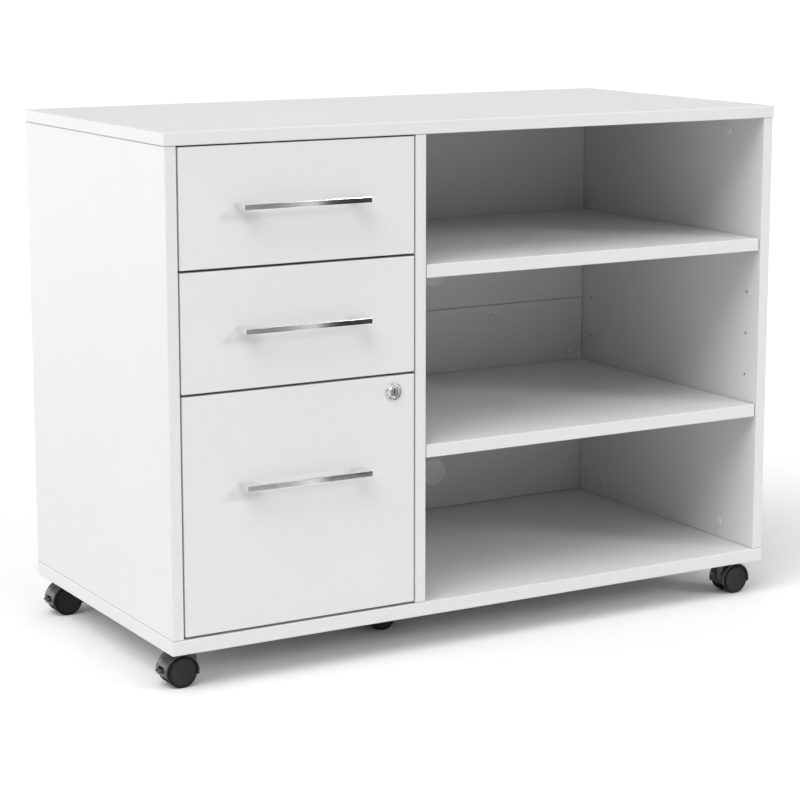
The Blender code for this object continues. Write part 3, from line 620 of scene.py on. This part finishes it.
def hood_mesh(braked):
    """The whole moulding, on its swivel axis, with its wheels trailing to +X."""
    axle = Vector((TRAIL, 0, WHEEL_RADIUS))
    boss = rod(axle, AWAY, 8 * MM, WEB, 48)
    steps = [("UNION", half_web(axle)), ("UNION", swivel_block(hood_high.z)), ("UNION", boss)]
    if braked:
        pedal_low, pedal_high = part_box("caster_front_left_brake_lever")
        half = (pedal_high.y - pedal_low.y) / 2 + 0.6 * MM
        window = bmesh.new()
        window_low = (TRAIL + HOOD_INNER - 3 * MM, -half, pedal_low.z - 0.6 * MM)
        soft_block(window, window_low, (TRAIL + 30 * MM, half, pedal_high.z + 2.4 * MM), 0.6 * MM)
        steps += [("DIFFERENCE", window), ("DIFFERENCE", tongue_line(axle))]
    return worked(hood_shell(axle), *steps)


def build_hood(corner):
    braked = f"caster_{corner}_brake_lever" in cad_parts
    swivel = middle(f"caster_{corner}_plate")
    trails_left = middle(f"caster_{corner}_wheels").x < swivel.x
    turn = Matrix.Rotation(math.pi if trails_left else 0.0, 4, "Z")
    bm = hood_mesh(braked)
    place = Matrix.Translation((swivel.x, swivel.y, 0)) @ turn
    bmesh.ops.transform(bm, matrix=place, verts=bm.verts)
    name = f"caster_{corner}_housing"
    piece_from(bm, f"fine_{name}", (hood_black,), f"caster_{corner}_fork", "caster_plastic", name)


for corner in CASTERS:
    build_hood(corner)
give(hood_black, *[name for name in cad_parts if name.endswith("_brake_lever")])
give(galvanised, *[f"caster_{corner}_plate" for corner in CASTERS])

# %% [markdown]
# ## The lock
# A cam lock fills one corner of the file drawer's front. Its ring is turned brass under
# nickel, with a rolled rim, a dished band and a raised lip around the plug, and two short
# marks for the locked and open positions. The plug has a stepped keyway, and behind the
# board it carries the cam that drops into the divider. The marks and the keyway are cut
# into the metal, since painted ones would stay flat when the light moves.

# %% Lock
file_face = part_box("file_drawer_front")[0].y
ring_low, ring_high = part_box("lock_barrel")
plug_low, plug_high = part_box("lock_plug")
ring_middle = middle("lock_barrel")
lock_place = Vector((ring_middle.x, file_face, ring_middle.z))
MARK_ANGLES = (162, 198)  # of the locked and open marks, round the ring
OUTWARDS = -AWAY
UPRIGHT = Matrix.Rotation(math.radians(90), 4, "X")  # X and Y become X and Z, depth goes forward


def in_mm(section):
    return [(distance * MM, along * MM) for distance, along in section]


def lock_ring():
    """The ring around the plug, spun, with its two marks cut in."""
    rim = (ring_high.x - ring_low.x) / 2 / MM
    proud, tail = (file_face - ring_low.y) / MM, (ring_high.y - file_face) / MM
    section = [(rim, 0.3), (rim, 0.9), *arc((rim - 1.2, 0.9), 1.2, 15, 90, 6)]
    section += [(rim - 1.8, proud - 0.15), (8.5, 1.55), (7.7, 1.5), (7.3, 2.0), (6.6, proud)]
    section += [(5.8, proud - 0.25), (5.8, -tail), (8.5, -tail), (8.5, 0.3), (rim, 0.3)]
    bm = bmesh.new()
    spin(bm, in_mm(section), lock_place, OUTWARDS, RIGHTWARDS, steps=96)
    marks = []
    for angle in MARK_ANGLES:
        turn = Matrix.Rotation(math.radians(angle), 4, "Y")
        mark = bmesh.new()
        sharp_block(mark, (9.3 * MM, -3.2 * MM, -0.3 * MM), (11.0 * MM, -1.5 * MM, 0.3 * MM))
        bmesh.ops.transform(mark, matrix=Matrix.Translation(lock_place) @ turn, verts=mark.verts)
        marks.append(("DIFFERENCE", mark))
    return worked(bm, *marks)


def keyway():
    """The stepped slot that the key slides into."""
    outline = [(-0.9, -3.4), (0.45, -3.4), (0.45, -0.6), (0.9, -0.2), (0.9, 3.4), (-0.45, 3.4)]
    outline += [(-0.45, 0.6), (-0.9, 0.2)]
    place = Matrix.Translation(lock_place + AWAY * 1.5 * MM) @ UPRIGHT
    return drawn(in_mm(outline), place, 6 * MM)


def lock_cam():
    """Round on the plug, straight sides, and rounded corners at its tip."""
    half, corner = 5.0, 1.5
    tip = (plug_low.z - lock_place.z) / MM
    meet = math.degrees(math.acos(half / 7.0))
    outline = arc((0, 0), 7.0, -meet, 180 + meet, 28)
    outline += arc((corner - half, tip + corner), corner, 180, 270, 4)
    outline += arc((half - corner, tip + corner), corner, 270, 360, 4)
    place = Matrix.Translation((lock_place.x, plug_high.y, lock_place.z)) @ UPRIGHT
    return drawn(in_mm(outline), place, 2.5 * MM)


def screw(bm, place, axis, radius, height, recess=True):
    """A low domed screw head, sunk a little in its board, with a cross recess if it has one."""
    axis = Vector(axis)
    sunk = 0.4 * MM
    section = [(0, height), (radius * 0.45, height * 0.96), (radius * 0.8, height * 0.7)]
    section += [(radius, height * 0.3), (radius, -sunk), (0, -sunk)]
    head = bmesh.new()
    across = UP if abs(axis.z) < 0.5 else RIGHTWARDS
    spin(head, section, Vector(place), axis, across, steps=28)
    if recess:
        turn = UP.rotation_difference(axis).to_matrix().to_4x4()
        cuts = []
        for long, short in ((0.62, 0.13), (0.13, 0.62)):
            reach = Vector((radius * long, radius * short, 0))
            bar = bmesh.new()
            sharp_block(bar, UP * height * 0.35 - reach, UP * height * 2 + reach)
            bmesh.ops.transform(bar, matrix=Matrix.Translation(place) @ turn, verts=bar.verts)
            cuts.append(("DIFFERENCE", bar))
        head = worked(head, *cuts)
    clean(head)
    mesh = bpy.data.meshes.new("screw")
    head.to_mesh(mesh)
    head.free()
    bm.from_mesh(mesh)
    bpy.data.meshes.remove(mesh)


def lock_plug():
    """The plug with its keyway, its cam and the screw that holds the cam."""
    front, back = (file_face - plug_low.y) / MM - 0.25, (plug_high.y - file_face) / MM
    section = [(0, front), (5.0, front), (5.5, front - 0.4), (5.5, -back + 1.0), (0, -back + 1.0)]
    bm = bmesh.new()
    spin(bm, in_mm(section), lock_place, OUTWARDS, RIGHTWARDS, steps=64)
    made = worked(bm, ("DIFFERENCE", keyway()), ("UNION", lock_cam()))
    screw(made, (lock_place.x, plug_high.y, lock_place.z), AWAY, 3.6 * MM, 1.8 * MM)
    # Faces inside the keyway take the second finish, a near-black painted shade for the dark inside the
    # slot.
    for face in made.faces:
        aside, along, above = (face.calc_center_median() - lock_place) / MM
        in_keyway = abs(aside) < 1 and abs(above) < 3.6 and 0.1 - front < along < 1.7
        face.material_index = int(in_keyway)
    return made


piece_from(lock_ring(), "fine_lock_ring", (plated,), "file_drawer", "nickel", "lock_barrel")
piece_from(lock_plug(), "fine_lock_plug", (plated, keyway_painted_shade), "lock_plug", "nickel", "lock_plug")

# %% [markdown]
# ## Cable grommets
# Two round cable ports close holes in the back boards. Each is a plastic ring with a cap
# that drops in, and the lower half of the cap has a flap that snaps off to let cables by.
# The ring and cap are spun as one and the flap's outline is cut in as a fine groove.

# %% Grommets
def flap_groove(place, radius, front):
    """A U cut into the cap: down both sides and round the bottom."""
    half, wide, deep = radius * 0.55, 0.55, 0.9
    foot = -math.sqrt(radius**2 - half**2)
    reach = math.degrees(math.acos(half / radius))
    outer = arc((0, 0), radius, 180 + reach, 360 - reach, 24)
    inner = arc((0, 0), radius - wide, 360 - reach, 180 + reach, 24)
    outline = [(-half - wide / 2, 0), *outer, (half + wide / 2, 0)]
    outline += [(half - wide / 2, 0), (half - wide / 2, foot + 2 * wide)]
    outline += [(x, y + 0.2) for x, y in inner[2:-2]]
    outline += [(-half + wide / 2, foot + 2 * wide), (-half + wide / 2, 0)]
    stand = Matrix.Translation(place + OUTWARDS * (front - deep) * MM) @ UPRIGHT
    return drawn(in_mm(outline), stand, 3 * MM)


def build_grommet(name):
    """Ring and cap in one turned piece, seated in the hole of the back boards."""
    low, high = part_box(name)
    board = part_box("lower_back_board")[0].y
    place = Vector(((low.x + high.x) / 2, board, (low.z + high.z) / 2))
    rim, proud, tail = (high.x - low.x) / 2 / MM, (board - low.y) / MM, (high.y - board) / MM
    section = [(0, proud - 0.3), (13.6, proud - 0.3), (13.9, proud - 0.6), (14.3, proud - 0.6)]
    section += [(14.6, proud - 0.1), (rim - 1.0, proud), *arc((rim - 1.0, proud - 1.0), 1.0, 75, 0, 5)]
    section += [(rim, 0.3), (18.7, 0.3), (18.7, -tail), (16.9, -tail), (16.9, -1.8), (0, -1.8)]
    bm = bmesh.new()
    spin(bm, in_mm(section), place, OUTWARDS, RIGHTWARDS, steps=96)
    made = worked(bm, ("DIFFERENCE", flap_groove(place, 12.6, proud - 0.3)))
    piece_from(made, f"fine_{name}", (pale,), "carcass", "grommet_plastic", name)


for name in ("lower_cable_grommet", "upper_cable_grommet"):
    build_grommet(name)

# %% [markdown]
# ## Cam caps and shelf pins
# The boards are drawn together by cam fittings in round pockets, which thin pressed-in
# caps hide. They sit near the corners of the bay and along the back boards. The two
# shelves rest on steel pins pushed into the rows of holes; each pin has a collar that
# stops it against the board.

# %% Caps and pins
cap_section = in_mm([
    (0, 1.0), (1.0, 1.0), (1.7, 1.3), (5.6, 1.4), (6.6, 1.15), (7.2, 0.7), (7.5, 0.1),
    (7.5, -0.4), (0, -0.4),
])
bay_left, bay_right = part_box("divider_panel")[1].x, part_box("right_side_panel")[0].x
bay_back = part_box("lower_back_board")[0].y
bay_middle = (bay_left + bay_right) / 2
CAP_DEPTHS = (80 * MM, 370 * MM)  # behind the carcass front
CAP_LEVELS = (40.5 * MM, 599 * MM)  # above the body's lower edge
# the back boards' caps: beside the middle of the bay, and above the body's lower edge
BACK_CAPS = in_mm([(245, 542.3), (103.2, 341.5), (103.2, 298), (245, 239), (245, 66), (103.2, 40.3)])

caps = bmesh.new()
for depth in CAP_DEPTHS:
    for level in CAP_LEVELS:
        y, z = body_corner.y + depth, body_corner.z + level
        spin(caps, cap_section, Vector((bay_right, y, z)), -RIGHTWARDS, UP, steps=40)
        spin(caps, cap_section, Vector((bay_left, y, z)), RIGHTWARDS, UP, steps=40)
for aside, level in BACK_CAPS:
    for side in (-1, 1):
        spot = Vector((bay_middle + side * aside, bay_back, body_corner.z + level))
        spin(caps, cap_section, spot, OUTWARDS, UP, steps=40)
piece_from(caps, "cam_caps", (cap_white,), "carcass", "grommet_plastic")

pin_section = in_mm([
    (0, 9.0), (1.9, 9.0), (2.3, 8.6), (2.3, 1.3), (3.5, 1.2), (3.6, 1.0), (3.6, 0.4), (3.5, 0.2),
    (2.2, 0.2), (2.2, -7.6), (1.8, -8.0), (0, -8.0),
])
PIN_COLUMNS = (28.5 * MM, 403.2 * MM)  # behind the carcass front
PIN_DROP = 2.45 * MM  # from the shelf's underside to the pin's middle
pins = bmesh.new()
for shelf in ("lower_shelf", "upper_shelf"):
    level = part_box(shelf)[0].z - PIN_DROP
    for depth in PIN_COLUMNS:
        for side, inwards in ((bay_left, RIGHTWARDS), (bay_right, -RIGHTWARDS)):
            spot = Vector((side, body_corner.y + depth, level))
            spin(pins, pin_section, spot, inwards, UP, steps=24)
piece_from(pins, "shelf_pins", (galvanised,), "carcass", "zinc_steel")

# %% [markdown]
# ## Screws and folder rails
# Two screws reach each handle's posts through the drawer front, and four hold each
# caster plate. The file drawer carries a pair of steel rails that hanging folders hook
# over, saddled on its side boards.

# %% Screws and rails
POST_INSET = 10 * MM  # from a handle's end to the middle of its post
for drawer in drawers:
    handle_low, handle_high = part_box(f"{drawer}_handle")
    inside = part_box(f"{drawer}_drawer_front")[1].y
    level = (handle_low.z + handle_high.z) / 2
    screws = bmesh.new()
    for x in (handle_low.x + POST_INSET, handle_high.x - POST_INSET):
        screw(screws, (x, inside, level), AWAY, 4.2 * MM, 2.2 * MM)
    piece_from(screws, f"{drawer}_handle_screws", (galvanised,), f"{drawer}_drawer", "zinc_steel")

PLATE_SHEET = 2.5 * MM
PLATE_HOLE = 13 * MM  # from the plate's middle to a hole, along each side
for corner in CASTERS:
    plate_middle = middle(f"caster_{corner}_plate")
    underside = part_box(f"caster_{corner}_plate")[1].z - PLATE_SHEET
    screws = bmesh.new()
    for x in (-PLATE_HOLE, PLATE_HOLE):
        for y in (-PLATE_HOLE, PLATE_HOLE):
            place = (plate_middle.x + x, plate_middle.y + y, underside)
            screw(screws, place, -UP, 3.2 * MM, 1.6 * MM, recess=False)
    piece_from(screws, f"caster_{corner}_screws", (galvanised,), "carcass", "zinc_steel")

left_board, right_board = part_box("file_drawer_left_side"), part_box("file_drawer_right_side")
RAIL_SPAN = 325 * MM  # between the rails, to suit hanging folders
RAIL_HALF, RAIL_HEIGHT = 1.1 * MM, 15 * MM
SADDLE_HALF, SADDLE_DEPTH, SADDLE_SHEET = 9 * MM, 9 * MM, 1.3 * MM
rail_middle = (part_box("file_drawer_front")[1].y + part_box("file_drawer_back")[0].y) / 2
head = left_board[1].z
rails = bmesh.new()
for y in (rail_middle - RAIL_SPAN / 2, rail_middle + RAIL_SPAN / 2):
    rail_low = (left_board[0].x + 1 * MM, y - RAIL_HALF, head + 0.5 * MM)
    rail_high = (right_board[1].x - 1 * MM, y + RAIL_HALF, head + RAIL_HEIGHT)
    soft_block(rails, rail_low, rail_high, 0.5 * MM, 2)
    for side_low, side_high in (left_board, right_board):
        saddle_low = (side_low.x - SADDLE_SHEET, y - SADDLE_HALF, head - SADDLE_DEPTH)
        saddle_high = (side_high.x + SADDLE_SHEET, y + SADDLE_HALF, head + 1.4 * MM)
        soft_block(rails, saddle_low, saddle_high, 0.5 * MM, 2)
piece_from(rails, "folder_rails", (galvanised,), "file_drawer", "zinc_steel")

# %% [markdown]
# ## The studio
# The cabinet stands on a plain pale floor in a white room that is bright overhead and
# dim along the walls. Three large soft lamps do the rest: a low key from the front right
# that reaches into the bay, a weak fill on the left side, and a strong overhead lamp from
# the left that tells the top from the fronts and leaves one soft shadow on the floor.

# %% Floor, room and lights
def plain(name, colour, roughness, size):
    """A softly mottled studio surface."""
    finish, tree, shader = new_finish(name, roughness=roughness)
    clouds = noise(tree, own_place(tree), size)
    shades = [tuple(level * share for level in colour) for share in (0.985, 1.0)]
    wear(tree, shader, blend(tree, clouds, *shades))
    return finish


def sheet(name, corners, finish):
    """A flat studio piece through its corners."""
    mesh = bpy.data.meshes.new(name)
    mesh.from_pydata([tuple(corner) for corner in corners], [], [range(len(corners))])
    mesh.materials.append(finish)
    made = bpy.data.objects.new(name, mesh)
    bpy.context.scene.collection.objects.link(made)
    return made


FLOOR_HALF = 80.0
floor_level = cad_low.z
floor_corners = [
    (x * FLOOR_HALF, y * FLOOR_HALF, floor_level) for x, y in ((-1, -1), (1, -1), (1, 1), (-1, 1))
]
sheet("floor", floor_corners, plain("floor_white", (0.82, 0.82, 0.82), 0.9, 0.8))

ROOM_HORIZON, ROOM_OVERHEAD = 0.05, 1.00  # brightness of the room's walls and of its ceiling
world = bpy.data.worlds.new("white room")
world.use_nodes = True
sky = world.node_tree
direction = node(sky, "TexCoord").outputs["Generated"]
height = node(sky, "SeparateXYZ", {0: direction}).outputs[2]
sky.links.new(
    between(sky, height, ROOM_HORIZON, ROOM_OVERHEAD), sky.nodes["Background"].inputs["Strength"]
)
sky.nodes["Background"].inputs["Color"].default_value = (1.0, 1.0, 1.0, 1.0)
bpy.context.scene.world = world


def soft_sun(name, round_from_front, up, spread, strength):
    """A large, far lamp: the angles say where it stands, counted to the right from the front."""
    lamp = bpy.data.lights.new(name, "SUN")
    lamp.energy = strength
    lamp.angle = math.radians(spread)
    made = bpy.data.objects.new(name, lamp)
    side, rise = math.radians(round_from_front), math.radians(up)
    towards = Vector((math.cos(rise) * math.sin(side), -math.cos(rise) * math.cos(side), math.sin(rise)))
    made.rotation_euler = towards.to_track_quat("Z", "Y").to_euler()
    bpy.context.scene.collection.objects.link(made)


LAMPS = (  # name, angle from the front, angle up, spread, strength
    ("key", 40, 25, 14, 0.78),
    ("left fill", -88, 24, 60, 0.40),
    ("overhead", -62, 52, 45, 2.00),
)
for lamp_values in LAMPS:
    soft_sun(*lamp_values)
bpy.context.scene.view_settings.view_transform = "Standard"  # so that white stays white
print("floor at", round(floor_level, 4), "m, lamps:", [lamp_values[0] for lamp_values in LAMPS])

# %% [markdown]
# ## What the chrome sees
# Chrome only shows what is around it, so two cards stand off in the studio, seen only by
# mirror-like reflections. Along its width, the one in front of the cabinet goes from mid
# grey over a white band to black and back to grey, and that pattern is what slides over
# the handles. The one behind, to the left, glows evenly and puts a sheen on the hoods.

# %% Reflection cards
handle_low, handle_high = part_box("upper_handle")
CARD_AHEAD = 0.9  # in front of the handles
mirror_eye = Vector((camera.location.x, 2 * handle_low.y - camera.location.y, camera.location.z))


def seen_at(share):
    """Where the card's plane is met by the reflection at a share of the handle's length."""
    x = handle_low.x + share * (handle_high.x - handle_low.x)
    reach = CARD_AHEAD / (mirror_eye.y - handle_low.y)
    return x + reach * (x - mirror_eye.x)


def card_finish(start, end, stops):
    """A glow in greys along the card, set by stops of (share of the handle, brightness)."""
    finish, tree, shader = new_finish("card_greys", roughness=1.0)
    x = node(tree, "SeparateXYZ", {0: own_place(tree)}).outputs[0]
    ramp = node(tree, "ValToRGB", {0: between(tree, x, 0.0, 1.0, start, end)})
    stripes = ramp.color_ramp.elements
    while len(stripes) < len(stops):
        stripes.new(1.0)
    for stripe, (share, level) in zip(stripes, stops):
        stripe.position = (seen_at(share) - start) / (end - start)
        stripe.color = (level, level, level, 1.0)
    tree.links.new(ramp.outputs[0], shader.inputs["Emission Color"])
    shader.inputs["Emission Strength"].default_value = 1.0
    shader.inputs["Base Color"].default_value = (0.0, 0.0, 0.0, 1.0)
    return finish


STOPS = (  # share of the handle's length, brightness
    (-0.4, 0.34), (0.0, 0.30), (0.22, 0.22), (0.42, 0.50), (0.48, 0.85),
    (0.57, 0.95), (0.60, 0.012), (1.02, 0.02), (1.12, 0.32), (1.6, 0.40),
)
CARD_TOP = 0.85
card_left, card_right = seen_at(-1.0), seen_at(2.6)
card_y = handle_low.y - CARD_AHEAD
card = sheet(
    "reflection_card",
    [
        (card_left, card_y, floor_level), (card_right, card_y, floor_level),
        (card_right, card_y, CARD_TOP), (card_left, card_y, CARD_TOP),
    ],
    card_finish(card_left, card_right, STOPS),
)

BACK_GLOW = 1.5
BACK_CARD_LEFT, BACK_CARD_RIGHT, BACK_CARD_TOP = Vector((-4.5, 0, 0)), Vector((-0.8, 4.5, 0)), 0.9
glow, _, glow_shader = new_finish("card_glow", roughness=1.0)
glow_shader.inputs["Emission Color"].default_value = (1.0, 1.0, 1.0, 1.0)
glow_shader.inputs["Emission Strength"].default_value = BACK_GLOW
back_card = sheet(
    "back_left_card",
    [
        BACK_CARD_LEFT, BACK_CARD_RIGHT,
        BACK_CARD_RIGHT + UP * BACK_CARD_TOP, BACK_CARD_LEFT + UP * BACK_CARD_TOP,
    ],
    glow,
)
for mirror_only in (card, back_card):
    mirror_only.visible_camera = mirror_only.visible_diffuse = mirror_only.visible_shadow = False
    mirror_only.visible_transmission = mirror_only.visible_volume_scatter = False

print("cards:", [mirror_only.name for mirror_only in (card, back_card)])
